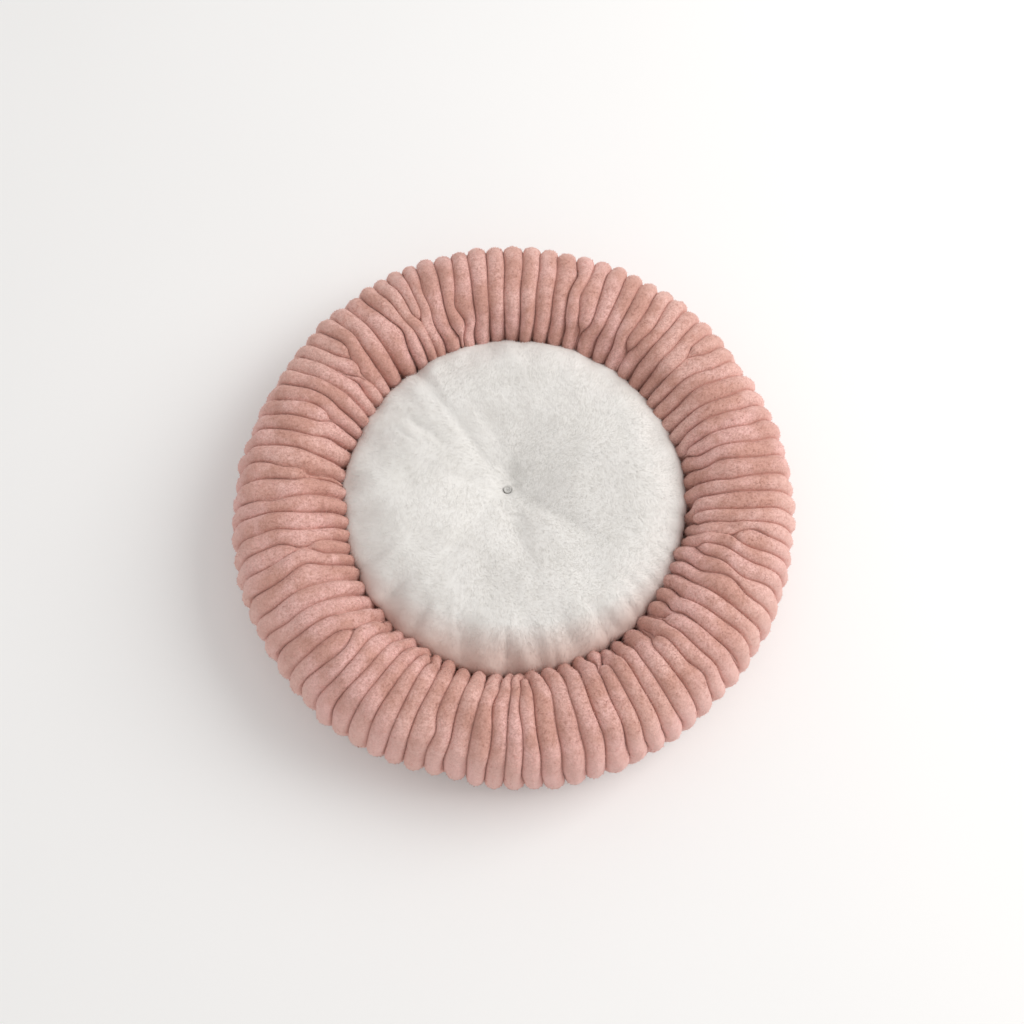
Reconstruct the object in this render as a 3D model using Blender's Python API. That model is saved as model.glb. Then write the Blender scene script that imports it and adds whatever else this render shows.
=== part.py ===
"""Round pet bed: a stuffed ring in ribbed plush round a lift-out tufted cushion.

Metres, +Z up. The origin is on the floor under the bed's centre. The way in to the ring's filling
is a zip in the bottom edge, at the back (+Y). Azimuths are turned from +X towards +Y.
"""

import math

import bmesh
import bpy
from mathutils import Matrix, Vector

# ---------------------------------------------------------------- driving dimensions
OUTER_RADIUS = 0.300
RING_HALF_WIDTH = 0.062
RING_HEIGHT = 0.118
WAIST_HEIGHT = 0.054  # where the ring is widest
CUSHION_RADIUS = 0.1745
CUSHION_CROWN = 0.096
CUSHION_SEAM_HEIGHT = 0.054
CUSHION_UNDERSIDE = 0.0087
TUFT_DEPTH = 0.026
TUFT_OFFSET = (-0.008, 0.005)  # from the cushion's middle
BUTTON_RADIUS = 0.0040

# The layers under the hole
PAD_RADIUS = 0.186
PAD_TOP = 0.0065
LINING_RADIUS = 0.189
LINING = 0.0012  # its thickness

# Fabrics and gaps
PLUSH = 0.005  # ribbed plush, backing and pile together
LINER = 0.001  # the non-woven bag that holds the ring's filling
OXFORD = 0.0015  # the hard-wearing base cloth
FUR = 0.004  # the cushion's long-pile top
SUEDE = 0.002  # the cushion's underside
GAP = 0.0004  # left between pieces that touch

# Zip
ZIP_START, ZIP_END = math.radians(30), math.radians(150)
SEAM_ANGLE = math.radians(-45)  # where the base seam lies round the ring's section
SEAM_HALF_WIDTH = 0.0043  # half the space between plush and base cloth
COIL_GAP = 0.0006  # from the seam's middle to each coil
COIL_WIDTH = 0.0014
COIL_DEPTH = 0.0019
TAPE_THICKNESS = 0.0006
TAPE_HALF_WIDTH = 0.0033  # of the zip's two tapes together, and of the seam's binding
BINDING_DEPTH = (-0.0018, -0.0008)  # of the binding's two faces, out from the seam's surface
LABEL_AZIMUTH = math.radians(20)
STOP_SWEEP = math.radians(0.5)
SLIDER_LENGTH = 0.009
SLIDER_AZIMUTH = ZIP_END - STOP_SWEEP - math.radians(1.2)  # with the zip closed
PLATE_TOP = 0.0022  # the slider's outer face, out from the seam's middle
PULL_AXIS = 0.0030  # the pull's crossbar, out from the seam's middle
PULL_LENGTH = 0.013

# Fineness of the turned solids
RING_SEGMENTS = 40
ZIP_STEP = math.radians(3)
SECTION_STEP = 22.5  # degrees round the ring's section

RING_RADIUS = OUTER_RADIUS - RING_HALF_WIDTH
FULL_TURN = 2 * math.pi


# ---------------------------------------------------------------- modelling tools
def material(name, colour, roughness, metallic=0.0):
    """A Principled material, made once for each name."""
    made = bpy.data.materials.get(name) or bpy.data.materials.new(name)
    made.use_nodes = True
    shader = made.node_tree.nodes["Principled BSDF"]
    shader.inputs["Base Color"].default_value = (*colour, 1.0)
    shader.inputs["Roughness"].default_value = roughness
    shader.inputs["Metallic"].default_value = metallic
    return made


def placed(name, mesh, finish, parent, smooth=True):
    """Turns a bmesh into an object in the scene, parented and painted."""
    data = bpy.data.meshes.new(name)
    bmesh.ops.recalc_face_normals(mesh, faces=mesh.faces)
    mesh.to_mesh(data)
    mesh.free()
    if smooth:
        data.shade_smooth()
        data.set_sharp_from_angle(angle=math.radians(40))
    data.materials.append(finish)
    made = bpy.data.objects.new(name, data)
    made.parent = parent
    bpy.context.scene.collection.objects.link(made)
    return made


def turned(name, outline, finish, parent, start=0.0, end=FULL_TURN, steps=RING_SEGMENTS):
    """A solid turned round Z from a closed outline of (radius, height) points."""
    mesh = bmesh.new()
    rim = [mesh.verts.new((r * math.cos(start), r * math.sin(start), z)) for r, z in outline]
    shape = rim + [mesh.edges.new(ends) for ends in zip(rim, rim[1:] + rim[:1])]
    whole = end - start >= FULL_TURN - 1e-6
    if not whole:
        shape.append(mesh.faces.new(rim))
    bmesh.ops.spin(
        mesh, geom=shape, axis=(0, 0, 1), cent=(0, 0, 0), angle=end - start, steps=steps, use_merge=whole
    )
    bmesh.ops.remove_doubles(mesh, verts=mesh.verts, dist=1e-6)
    return placed(name, mesh, finish, parent)


def block(mesh, low, high):
    """Adds a box between two corners to a bmesh."""
    centre = (Vector(low) + Vector(high)) / 2
    size = Vector(high) - Vector(low)
    bmesh.ops.create_cube(mesh, size=1, matrix=Matrix.Translation(centre) @ Matrix.Diagonal((*size, 1)))


def boxes(name, corners, finish, parent, bevel=0.0):
    """An object of one box for each (low corner, high corner)."""
    mesh = bmesh.new()
    for low, high in corners:
        block(mesh, low, high)
    if bevel:
        bmesh.ops.bevel(mesh, geom=mesh.edges[:], offset=bevel, segments=2, affect="EDGES", profile=0.5)
    return placed(name, mesh, finish, parent, smooth=False)


def combine(target, other, operation):
    """Joins other to target, or cuts it out, and keeps other as a hidden helper."""
    other.hide_render = True
    other.display_type = "WIRE"
    change = target.modifiers.new(operation.title(), "BOOLEAN")
    change.operation = operation
    change.object = other
    change.solver = "EXACT"
    change.use_self = True


def empty(name, parent=None):
    made = bpy.data.objects.new(name, None)
    made.parent = parent
    bpy.context.scene.collection.objects.link(made)
    return made


# ---------------------------------------------------------------- the ring's section
def section_point(angle, inset=0.0):
    """(radius, height) on the ring's section: a superellipse, squarer below, where it rests."""
    across, up = math.cos(angle), math.sin(angle)
    power = 2 / (2.2 if up >= 0 else 2.8)
    half_height = RING_HEIGHT - WAIST_HEIGHT if up >= 0 else WAIST_HEIGHT - OXFORD - GAP
    radius = RING_RADIUS + (RING_HALF_WIDTH - inset) * math.copysign(abs(across) ** power, across)
    height = WAIST_HEIGHT + (half_height - inset) * math.copysign(abs(up) ** power, up)
    return radius, height


def section_arc(first, last, inset):
    """Section points from one angle to another, both in degrees, on steps that every layer shares."""
    inner = range(math.floor(first / SECTION_STEP) + 1, math.ceil(last / SECTION_STEP))
    angles = [first, *(step * SECTION_STEP for step in inner), last]
    return [section_point(math.radians(angle), inset) for angle in angles]


def shell_outline(first, last, inset, thickness):
    """The closed outline of a wall that follows the section, open between last and first."""
    return section_arc(first, last, inset) + section_arc(first, last, inset + thickness)[::-1]


def seam_frame():
    """The base seam's middle in the section, and the unit vectors along and out of the surface."""
    small = math.radians(0.5)
    middle = Vector(section_point(SEAM_ANGLE))
    along = Vector(section_point(SEAM_ANGLE + small)) - Vector(section_point(SEAM_ANGLE - small))
    along.normalize()
    return middle, along, Vector((along.y, -along.x))


def disc(name, radius, low, high, finish, parent):
    """A flat round layer between two heights."""
    return turned(name, [(0, low), (radius, low), (radius, high), (0, high)], finish, parent)


def seam_strip(low, high, inner, outer):
    """The outline of a strip in the seam: low to high along the surface, inner to outer off it."""
    middle, along, out = seam_frame()
    corners = ((low, inner), (high, inner), (high, outer), (low, outer))
    return [tuple(middle + along * a + out * b) for a, b in corners]


def section_frame(along, out, origin):
    """A frame standing in the section at azimuth 0: X runs round the ring, Y along, Z out."""
    across = (0, along.x, out.x, origin.x)
    upwards = (0, along.y, out.y, origin.y)
    return Matrix((across, (1, 0, 0, 0), upwards, (0, 0, 0, 1)))


def seam_matrix(azimuth):
    """A frame in the seam there: X along the zip, Y up the surface, Z straight out of it."""
    middle, along, out = seam_frame()
    turn = Matrix.Rotation(azimuth, 4, "Z")
    return turn @ section_frame(along, out, middle)


def seam_edge_angle(side):
    """The section angle, in degrees, where the plush (+1) or the base cloth (-1) meets the seam."""
    middle, along, _ = seam_frame()
    angle = SEAM_ANGLE
    while (Vector(section_point(angle)) - middle).dot(along) * side < SEAM_HALF_WIDTH:
        angle += side * math.radians(0.1)
    return math.degrees(angle)


# ---------------------------------------------------------------- the ring and its base
def make_ring(body):
    pink = material("ribbed_plush", (0.66, 0.38, 0.32), 0.95)
    white = material("nonwoven", (0.86, 0.86, 0.84), 0.9)
    fibre = material("fibrefill", (0.92, 0.92, 0.90), 1.0)
    inner_seam = 235
    turned("bolster_cover", shell_outline(seam_edge_angle(+1), inner_seam, 0.0, PLUSH), pink, body)
    bag_slit = 6  # degrees, where the bag was filled
    bag = shell_outline(-90 + bag_slit / 2, 270 - bag_slit / 2, PLUSH + GAP, LINER)
    turned("bolster_liner", bag, white, body)
    turned("bolster_fill", section_arc(0, 360, PLUSH + LINER + 2 * GAP)[:-1], fibre, body)


def make_base(body):
    oxford = material("oxford_cloth", (0.62, 0.60, 0.58), 0.85)
    fibre = material("fibrefill", (0.92, 0.92, 0.90), 1.0)
    lining = material("lining", (0.80, 0.62, 0.57), 0.9)
    binding = material("binding_tape", (0.66, 0.44, 0.40), 0.8)
    rim = section_arc(-90, seam_edge_angle(-1), -GAP - OXFORD)
    rim_inside = section_arc(-90, seam_edge_angle(-1), -GAP)
    turned("base_panel", [(0, 0), *rim, *rim_inside[::-1], (0, OXFORD)], oxford, body)

    disc("base_wadding", PAD_RADIUS, OXFORD + GAP, PAD_TOP, fibre, body)
    floor = PAD_TOP + GAP
    disc("floor_lining", LINING_RADIUS, floor, floor + LINING, lining, body)

    tape = seam_strip(-TAPE_HALF_WIDTH, TAPE_HALF_WIDTH, *BINDING_DEPTH)
    margin = math.radians(0.3)
    steps = round((FULL_TURN - ZIP_END + ZIP_START) / ZIP_STEP / 2)
    turned("seam_binding", tape, binding, body, ZIP_END + margin, FULL_TURN + ZIP_START - margin, steps)


def make_care_label(body):
    """A blank satin label, sewn into the seam beside the zip and lying out over the floor."""
    satin = material("satin_label", (0.90, 0.89, 0.87), 0.5)
    width, length, thickness = 0.026, 0.015, 0.0006
    cloth = ((-width / 2, 0, 0), (width / 2, length, thickness))
    label = boxes("care_label", [cloth], satin, body, bevel=0.0001)
    clear_of_binding = 0.0012
    root = Vector(seam_strip(0, 0, 0, clear_of_binding)[2])
    lowest = Vector((OUTER_RADIUS - 0.0015, 0.0022))
    slope = (lowest - root).normalized()
    up = Vector((-slope.y, slope.x))
    label.matrix_local = Matrix.Rotation(LABEL_AZIMUTH, 4, "Z") @ section_frame(slope, up, root)


# ---------------------------------------------------------------- the zip
def make_zip_chain(body):
    tape = material("zip_tape", (0.70, 0.48, 0.43), 0.8)
    coil = material("zip_coil", (0.72, 0.52, 0.47), 0.45)
    metal = material("zip_metal", (0.72, 0.71, 0.69), 0.3, 1.0)
    start, end = ZIP_START + STOP_SWEEP, ZIP_END - STOP_SWEEP
    steps = round((end - start) / ZIP_STEP)
    for name, side in (("upper", 1), ("lower", -1)):
        near, far = side * COIL_GAP, side * (COIL_GAP + COIL_WIDTH)
        teeth = seam_strip(min(near, far), max(near, far), -COIL_DEPTH / 2, COIL_DEPTH / 2)
        turned(f"zip_coil_{name}", teeth, coil, body, start, end, steps)
        far = side * TAPE_HALF_WIDTH
        back = -COIL_DEPTH / 2 - GAP
        strip = seam_strip(min(near, far), max(near, far), back - TAPE_THICKNESS, back)
        turned(f"zip_tape_{name}", strip, tape, body, start, end, steps)
    crimp_width = COIL_GAP + COIL_WIDTH + 0.0002
    crimp_depth = COIL_DEPTH / 2 + 0.0003
    crimp = seam_strip(-crimp_width, crimp_width, -crimp_depth, crimp_depth)
    margin = math.radians(0.1)
    turned("zip_stop_open", crimp, metal, body, ZIP_START, start - margin, 2)
    turned("zip_stop_closed", crimp, metal, body, end + margin, ZIP_END, 2)


def make_zip_slider(travel):
    """Two plates joined by a post between the coils, and a bridge on top for the pull."""
    metal = material("zip_metal", (0.72, 0.71, 0.69), 0.3, 1.0)
    half = SLIDER_LENGTH / 2
    plate, plate_half = 0.0008, 0.0036
    plate_bottom = PLATE_TOP - plate
    top_plate = ((-half, -plate_half, plate_bottom), (half, plate_half, PLATE_TOP))
    slider = boxes("zip_slider", [top_plate], metal, travel, 0.00025)
    inner_half, inner_top = 0.0029, -0.0023
    post, post_length = 0.0004, 0.0030  # both halves; it runs between the coils
    bridge = 0.0005
    arch_in, arch_out = 0.0016, 0.0023
    top_in, top_out = PULL_AXIS + 0.00075, PULL_AXIS + 0.00135
    sink = 0.0003
    helpers = [
        ("inner_plate", (-half, -inner_half, inner_top - plate), (half, inner_half, inner_top)),
        ("post", (-post_length, -post, inner_top - sink), (post_length, post, plate_bottom + sink)),
        ("arch_foot_a", (-arch_out, -bridge, PLATE_TOP - sink), (-arch_in, bridge, top_out)),
        ("arch_foot_b", (arch_in, -bridge, PLATE_TOP - sink), (arch_out, bridge, top_out)),
        ("arch_top", (-arch_in - sink, -bridge, top_in), (arch_in + sink, bridge, top_out)),
    ]
    for name, low, high in helpers:
        combine(slider, boxes("helper_" + name, [(low, high)], metal, slider), "UNION")
    slider.matrix_local = seam_matrix(SLIDER_AZIMUTH)
    return slider


def make_zip_pull(slider):
    """A flat tab with a window for the bridge; its crossbar lies under the bridge."""
    metal = material("zip_metal", (0.72, 0.71, 0.69), 0.3, 1.0)
    half_width, half_thickness = 0.0020, 0.0004
    bar = 0.00045
    tab = ((-PULL_LENGTH, -half_width, -half_thickness), (bar, half_width, half_thickness))
    pull = boxes("zip_pull", [tab], metal, slider, 0.0002)
    window_near, window_far, window_half = 0.0006, 0.0036, 0.0009
    through = 5 * half_thickness
    window = ((-window_far, -window_half, -through), (-window_near, window_half, through))
    combine(pull, boxes("helper_window", [window], metal, pull), "DIFFERENCE")
    pull.location = (0, 0, PULL_AXIS)


# ---------------------------------------------------------------- the cushion
def dome_height(radius, drop=0.0):
    """The cushion's top: a crowned dome, drawn down at its middle by the tuft."""
    share = min(1.0, radius / (CUSHION_RADIUS - drop))
    rise = (CUSHION_CROWN - CUSHION_SEAM_HEIGHT - drop) * math.sqrt(1 - share**6)
    tuft_width = 0.034
    return CUSHION_SEAM_HEIGHT + rise - TUFT_DEPTH * math.exp(-((radius / tuft_width) ** 2))


def belly_height(radius, lift=0.0):
    """The cushion's underside: flat where it rests, rounded at the edge, tucked up at the tuft."""
    share = min(1.0, radius / (CUSHION_RADIUS - lift))
    fall = (CUSHION_SEAM_HEIGHT - CUSHION_UNDERSIDE - lift) * math.sqrt(1 - share**5)
    tuck, tuck_width = 0.006, 0.022
    return CUSHION_SEAM_HEIGHT - fall + tuck * math.exp(-((radius / tuck_width) ** 2))


def radii(outer):
    """Radii from the cord's hole to the edge, closer together at the tuft and at the rim."""
    inner = 0.0025
    shares = (0, 0.06, 0.13, 0.22, 0.40, 0.65, 0.85, 0.96, 1)
    return [inner + share * (outer - inner) for share in shares]


def skew_to_tuft(piece):
    """Slides a turned piece's middle over to the tuft and leaves its edge where it is."""
    for vertex in piece.data.vertices:
        radius = math.hypot(vertex.co.x, vertex.co.y)
        share = 1 - (radius / CUSHION_RADIUS) ** 2
        vertex.co.x += share * TUFT_OFFSET[0]
        vertex.co.y += share * TUFT_OFFSET[1]


def make_cushion(body):
    fur = material("white_fur", (0.90, 0.89, 0.87), 1.0)
    suede = material("suede", (0.84, 0.80, 0.77), 0.9)
    fibre = material("fibrefill", (0.92, 0.92, 0.90), 1.0)
    seam = GAP / 2
    top = [(r, dome_height(r) + seam) for r in radii(CUSHION_RADIUS)]
    under_top = [(r, dome_height(r, FUR) + seam) for r in radii(CUSHION_RADIUS - FUR)]
    skew_to_tuft(turned("cushion_top", under_top + top[::-1], fur, body))
    bottom = [(r, belly_height(r) - seam) for r in radii(CUSHION_RADIUS)]
    over_bottom = [(r, belly_height(r, SUEDE) - seam) for r in radii(CUSHION_RADIUS - SUEDE)]
    skew_to_tuft(turned("cushion_bottom", bottom + over_bottom[::-1], suede, body))
    stuffing = FUR + GAP
    upper = [(r, dome_height(r, stuffing)) for r in radii(CUSHION_RADIUS - stuffing)]
    lower = [(r, belly_height(r, stuffing)) for r in radii(CUSHION_RADIUS - stuffing)[:-1]]
    skew_to_tuft(turned("cushion_fill", lower + upper[::-1], fibre, body))


def make_button(name, height, face, body):
    """A small two-hole button with a raised rim; face is +1 where it looks up, -1 down."""
    resin = material("button_resin", (0.72, 0.71, 0.68), 0.35)
    thickness, dish = 0.0024, 0.0009
    outline = [
        (0, 0),
        (0.82 * BUTTON_RADIUS, 0),
        (BUTTON_RADIUS, thickness * 0.45),
        (0.92 * BUTTON_RADIUS, thickness),
        (0.74 * BUTTON_RADIUS, thickness),
        (0.62 * BUTTON_RADIUS, thickness - dish),
        (0, thickness - dish),
    ]
    button = turned(name, [(r, face * z) for r, z in outline], resin, body, steps=20)
    thread_hole, from_middle = 0.0005, 0.0010
    for side in (-1, 1):
        mesh = bmesh.new()
        bmesh.ops.create_cone(
            mesh, cap_ends=True, segments=10, radius1=thread_hole, radius2=thread_hole,
            depth=4 * thickness, matrix=Matrix.Translation((side * from_middle, 0, 0)),
        )
        combine(button, placed("helper_hole", mesh, resin, button), "DIFFERENCE")
    button.location = (*TUFT_OFFSET, height)


def make_tuft(body):
    """Two buttons drawn together through the cushion by a waxed cord."""
    thread = material("tuft_cord", (0.85, 0.84, 0.80), 0.8)
    top = dome_height(BUTTON_RADIUS) + GAP
    bottom = belly_height(BUTTON_RADIUS) - GAP
    make_button("tuft_button_top", top, +1, body)
    make_button("tuft_button_bottom", bottom, -1, body)
    radius = 0.0008
    low, high = bottom + GAP, top - GAP
    outline = [(0, low), (radius, low), (radius, high), (0, high)]
    cord = turned("tuft_cord", outline, thread, body, steps=10)
    cord.location = (*TUFT_OFFSET, 0)


def main():
    for old in list(bpy.data.objects):
        bpy.data.objects.remove(old)
    bed = empty("bed")
    make_ring(bed)
    make_base(bed)
    make_care_label(bed)
    make_zip_chain(bed)
    make_zip_pull(make_zip_slider(empty("zip_travel", bed)))
    cushion = empty("cushion", bed)
    make_cushion(cushion)
    make_tuft(cushion)


main()
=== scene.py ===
"""Looks of the round pet bed: a ribbed plush ring, a tufted fur cushion and a zipped base cloth.

Metres, +Z up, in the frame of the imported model. Azimuths are turned from +X towards +Y. The ring's
section is followed by an angle: 0 is its outermost point, 90 its top, 180 its innermost point.
"""

import math

import bmesh
import bpy
import numpy as np
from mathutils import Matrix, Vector


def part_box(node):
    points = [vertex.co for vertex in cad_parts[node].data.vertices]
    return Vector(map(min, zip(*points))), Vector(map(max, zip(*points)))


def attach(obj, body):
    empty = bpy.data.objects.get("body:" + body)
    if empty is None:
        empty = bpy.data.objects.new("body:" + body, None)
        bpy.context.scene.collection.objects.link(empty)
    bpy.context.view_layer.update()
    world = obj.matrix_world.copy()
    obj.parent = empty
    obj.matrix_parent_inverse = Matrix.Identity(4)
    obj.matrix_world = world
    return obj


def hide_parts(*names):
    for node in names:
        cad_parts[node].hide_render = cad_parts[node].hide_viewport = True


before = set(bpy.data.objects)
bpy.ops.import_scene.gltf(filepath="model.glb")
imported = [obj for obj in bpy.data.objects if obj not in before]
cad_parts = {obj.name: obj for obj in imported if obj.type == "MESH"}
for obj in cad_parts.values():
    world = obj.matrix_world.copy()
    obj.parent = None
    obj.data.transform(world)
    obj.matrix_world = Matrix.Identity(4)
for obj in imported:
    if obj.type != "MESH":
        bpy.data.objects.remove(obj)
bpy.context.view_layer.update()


# ---------------------------------------------------------------- sizes, read from the frame
def points_of(piece):
    """An object's vertices as an array."""
    points = np.empty(len(piece.data.vertices) * 3, np.float32)
    piece.data.vertices.foreach_get("co", points)
    return points.reshape(-1, 3).astype(float)


def node_points(node):
    """A CAD node's vertices as an array."""
    return points_of(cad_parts[node])


def node_reach(node):
    """The smallest and largest distance of a CAD node's vertices from the Z axis."""
    radii = np.hypot(*node_points(node)[:, :2].T)
    return radii.min(), radii.max()


INNER_RADIUS, OUTER_RADIUS = node_reach("bolster_cover")
RING_RADIUS = (INNER_RADIUS + OUTER_RADIUS) / 2
RING_HALF_WIDTH = (OUTER_RADIUS - INNER_RADIUS) / 2
RING_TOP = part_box("bolster_cover")[1].z
WAIST_HEIGHT = max(node_points("bolster_cover").tolist(), key=lambda p: math.hypot(p[0], p[1]))[2]
BASE_TOP = 0.0019  # the base cloth and the gap over it
CUSHION_RADIUS = node_reach("cushion_top")[1]
CUSHION_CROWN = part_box("cushion_top")[1].z
CUSHION_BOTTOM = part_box("cushion_bottom")[0].z
CUSHION_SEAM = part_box("cushion_top")[0].z
TUFT = sum(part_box("tuft_cord"), Vector()) / 2
TUFT_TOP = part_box("tuft_button_top")[0].z
BUTTON_RADIUS = (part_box("tuft_button_top")[1].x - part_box("tuft_button_top")[0].x) / 2
TUFT_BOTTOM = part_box("tuft_button_bottom")[1].z
FULL_TURN = 2 * math.pi


# ---------------------------------------------------------------- numbers and shapes
def smooth(low, high, value):
    """0 below low, 1 above high, and an S curve between them."""
    share = np.clip((value - low) / (high - low), 0, 1)
    return share * share * (3 - 2 * share)


def hump(value, centre, width):
    """A bell curve: 1 at the centre."""
    return np.exp(-(((value - centre) / width) ** 2))


def turn_difference(angle, other):
    """The shorter way round from other to angle, in degrees."""
    return (angle - other + 180) % 360 - 180


def lumps(points, size, seed, terms=14):
    """Smooth noise, mostly between -1 and 1, whose lumps are about the given size."""
    draw = np.random.default_rng(seed)
    directions = draw.normal(size=(terms, points.shape[-1]))
    directions /= np.linalg.norm(directions, axis=1, keepdims=True)
    rates = draw.uniform(0.6, 1.5, terms) * FULL_TURN / (2 * size)
    phases = draw.uniform(0, FULL_TURN, terms)
    return np.cos(points @ (directions * rates[:, None]).T + phases).sum(-1) / math.sqrt(terms)


def polar(radius, azimuth, height):
    """Points from arrays of radius, azimuth and height."""
    return np.stack(np.broadcast_arrays(radius * np.cos(azimuth), radius * np.sin(azimuth), height), -1)


def section(angle, inset=0.0):
    """Radius and height on the ring's section: a superellipse, squarer below, where it rests."""
    across, up = np.cos(angle), np.sin(angle)
    power = np.where(up >= 0, 2 / 2.2, 2 / 2.8)
    half_height = np.where(up >= 0, RING_TOP - WAIST_HEIGHT, WAIST_HEIGHT - BASE_TOP)
    radius = RING_RADIUS + (RING_HALF_WIDTH - inset) * np.sign(across) * np.abs(across) ** power
    height = WAIST_HEIGHT + (half_height - inset) * np.sign(up) * np.abs(up) ** power
    return radius, height


def section_normal(angle):
    """The outward unit normal of the ring's section: its radial and vertical parts."""
    small = math.radians(0.5)
    before, after = section(angle - small), section(angle + small)
    along_r, along_z = after[0] - before[0], after[1] - before[1]
    length = np.hypot(along_r, along_z)
    return along_z / length, -along_r / length


def grid_normals(points):
    """Unit normals of a (rows, columns, 3) grid that is closed round its columns, one way throughout."""
    across = np.roll(points, -1, axis=1) - np.roll(points, 1, axis=1)
    down = np.gradient(points, axis=0)
    normals = np.cross(across, down)
    return normals / np.maximum(np.linalg.norm(normals, axis=-1, keepdims=True), 1e-12)


def new_object(name, mesh, finish, smooth_shading=True):
    made = bpy.data.objects.new(name, mesh)
    bpy.context.scene.collection.objects.link(made)
    mesh.materials.append(finish)
    if smooth_shading:
        mesh.shade_smooth()
    return made


def grid(name, points, finish, wrap_rows=False, wrap_columns=True):
    """A surface of quads through a (rows, columns, 3) array of points, closed either way if asked."""
    rows, columns, _ = points.shape
    corner = np.arange(rows * columns).reshape(rows, columns)
    right = np.roll(corner, -1, axis=1)
    quads = np.stack([corner, right, np.roll(right, -1, axis=0), np.roll(corner, -1, axis=0)], -1)
    if not wrap_rows:
        quads = quads[:-1]
    if not wrap_columns:
        quads = quads[:, :-1]
    mesh = bpy.data.meshes.new(name)
    mesh.from_pydata(points.reshape(-1, 3).tolist(), [], quads.reshape(-1, 4).tolist())
    mesh.update()
    return new_object(name, mesh, finish)


def face_outwards(piece):
    """Turns a closed piece's faces to point out, and gives the piece back."""
    mesh = bmesh.new()
    mesh.from_mesh(piece.data)
    bmesh.ops.recalc_face_normals(mesh, faces=mesh.faces)
    mesh.to_mesh(piece.data)
    mesh.free()
    return piece


def paint(piece, name, values):
    """Stores a number for each vertex, for the material to read."""
    layer = piece.data.attributes.new(name, "FLOAT", "POINT")
    layer.data.foreach_set("value", np.asarray(values, np.float32).ravel())


# ---------------------------------------------------------------- materials
def new_material(name):
    """A plain material; gives back the material, its node tree and its Principled shader."""
    made = bpy.data.materials.new(name)
    made.use_nodes = True
    return made, made.node_tree, made.node_tree.nodes["Principled BSDF"]


def set_inputs(tree, node, inputs):
    """Sets a node's inputs to values, or links them to other nodes' outputs."""
    for key, value in inputs.items():
        if isinstance(value, bpy.types.NodeSocket):
            tree.links.new(value, node.inputs[key])
        else:
            node.inputs[key].default_value = value


def add(tree, kind, inputs=None, **settings):
    """A shader node with its settings, and its inputs set or linked."""
    made = tree.nodes.new("ShaderNode" + kind)
    for key, value in settings.items():
        setattr(made, key, value)
    set_inputs(tree, made, inputs or {})
    return made


def noise(tree, scale, detail=2.0, roughness=0.5, stretch=(1, 1, 1)):
    """Noise in the object's own space, from 0 to 1, with lumps of about 1 / scale metres."""
    coords = add(tree, "TexCoord").outputs["Object"]
    mapped = add(tree, "Mapping", {"Vector": coords, "Scale": stretch}).outputs["Vector"]
    inputs = {"Vector": mapped, "Scale": scale, "Detail": detail, "Roughness": roughness}
    return add(tree, "TexNoise", inputs).outputs["Fac"]


def span(tree, value, low, high, to_low=0.0, to_high=1.0):
    """Maps a value from one range to another, clamped."""
    inputs = {"Value": value, "From Min": low, "From Max": high, "To Min": to_low, "To Max": to_high}
    return add(tree, "MapRange", inputs).outputs["Result"]


def mix(tree, share, first, second, blend="MIX"):
    """A colour between two colours, or one blended over the other."""
    made = add(tree, "Mix", {"Factor": share}, data_type="RGBA", blend_type=blend)
    for socket, value in ((made.inputs[6], first), (made.inputs[7], second)):
        if isinstance(value, bpy.types.NodeSocket):
            tree.links.new(value, socket)
        else:
            socket.default_value = (*value, 1.0)
    return made.outputs[2]


def times(tree, first, second):
    """Two values multiplied."""
    return add(tree, "Math", {0: first, 1: second}, operation="MULTIPLY").outputs[0]


def painted(tree, name):
    """A number that was painted on the piece's vertices."""
    return add(tree, "Attribute", attribute_name=name).outputs["Fac"]


def bump(tree, height, distance, strength=1.0, under=None):
    """A bump of that many metres, over another bump if one is given."""
    inputs = {"Height": height, "Distance": distance, "Strength": strength}
    if under:
        inputs["Normal"] = under
    return add(tree, "Bump", inputs).outputs["Normal"]


PLUSH_SHADE = (0.44, 0.215, 0.165)  # the plush's colour down between its tufts


def plush_material():
    """Short, dense rib plush: brushed patches, pile grain, and painted shade down in the grooves."""
    made, tree, shader = new_material("ribbed_plush")
    worn, groove, tone = (painted(tree, name) for name in ("worn", "groove", "tone"))
    brushed = span(tree, noise(tree, 26, 3, 0.55), 0.38, 0.60)
    grain = noise(tree, 520, 3, 0.8)
    tufts = noise(tree, 210, 4, 0.75)
    colour = mix(tree, span(tree, noise(tree, 9, 2), 0.4, 0.6), (0.85, 0.54, 0.48), (0.87, 0.54, 0.50))
    patches = span(tree, times(tree, brushed, worn), 0.1, 0.9, 0, 0.80)
    colour = mix(tree, patches, colour, (0.64, 0.345, 0.28))
    flecks = times(tree, span(tree, tufts, 0.46, 0.62, 0, 0.30), worn)
    colour = mix(tree, flecks, colour, (0.46, 0.23, 0.175))
    specks = times(tree, span(tree, grain, 0.44, 0.60, 0, 0.50), worn)
    colour = mix(tree, specks, colour, PLUSH_SHADE)
    # Painted shade: darker down in the grooves between the ribs.
    colour = mix(tree, span(tree, groove, -0.6, 0.30), (0.58, 0.31, 0.26), colour)
    darker_hairs = times(tree, span(tree, tone, 0.60, 1.0, 0, 0.5), worn)
    colour = mix(tree, darker_hairs, colour, PLUSH_SHADE)
    under = bump(tree, tufts, 0.0016, 0.55)
    set_inputs(tree, shader, {
        "Base Color": colour,
        "Normal": bump(tree, grain, 0.0007, 0.8, under),
        "Roughness": 0.95,
        "Specular IOR Level": 0.2,
        "Sheen Weight": 0.35,
        "Sheen Roughness": 0.45,
        "Sheen Tint": (1.0, 0.80, 0.74, 1.0),
    })
    return made


# Only the cushion's rim towards the front is further from this point than the first distance below. There
# its fur is painted darker and pinker, as painted shade with a painted pink bounce from the plush, in full
# from the second distance on.
PAINTED_SHADE_POINT = (0.0, 0.045, 0.080)
PAINTED_SHADE_FROM, PAINTED_SHADE_FULL = 0.193, 0.224


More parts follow.
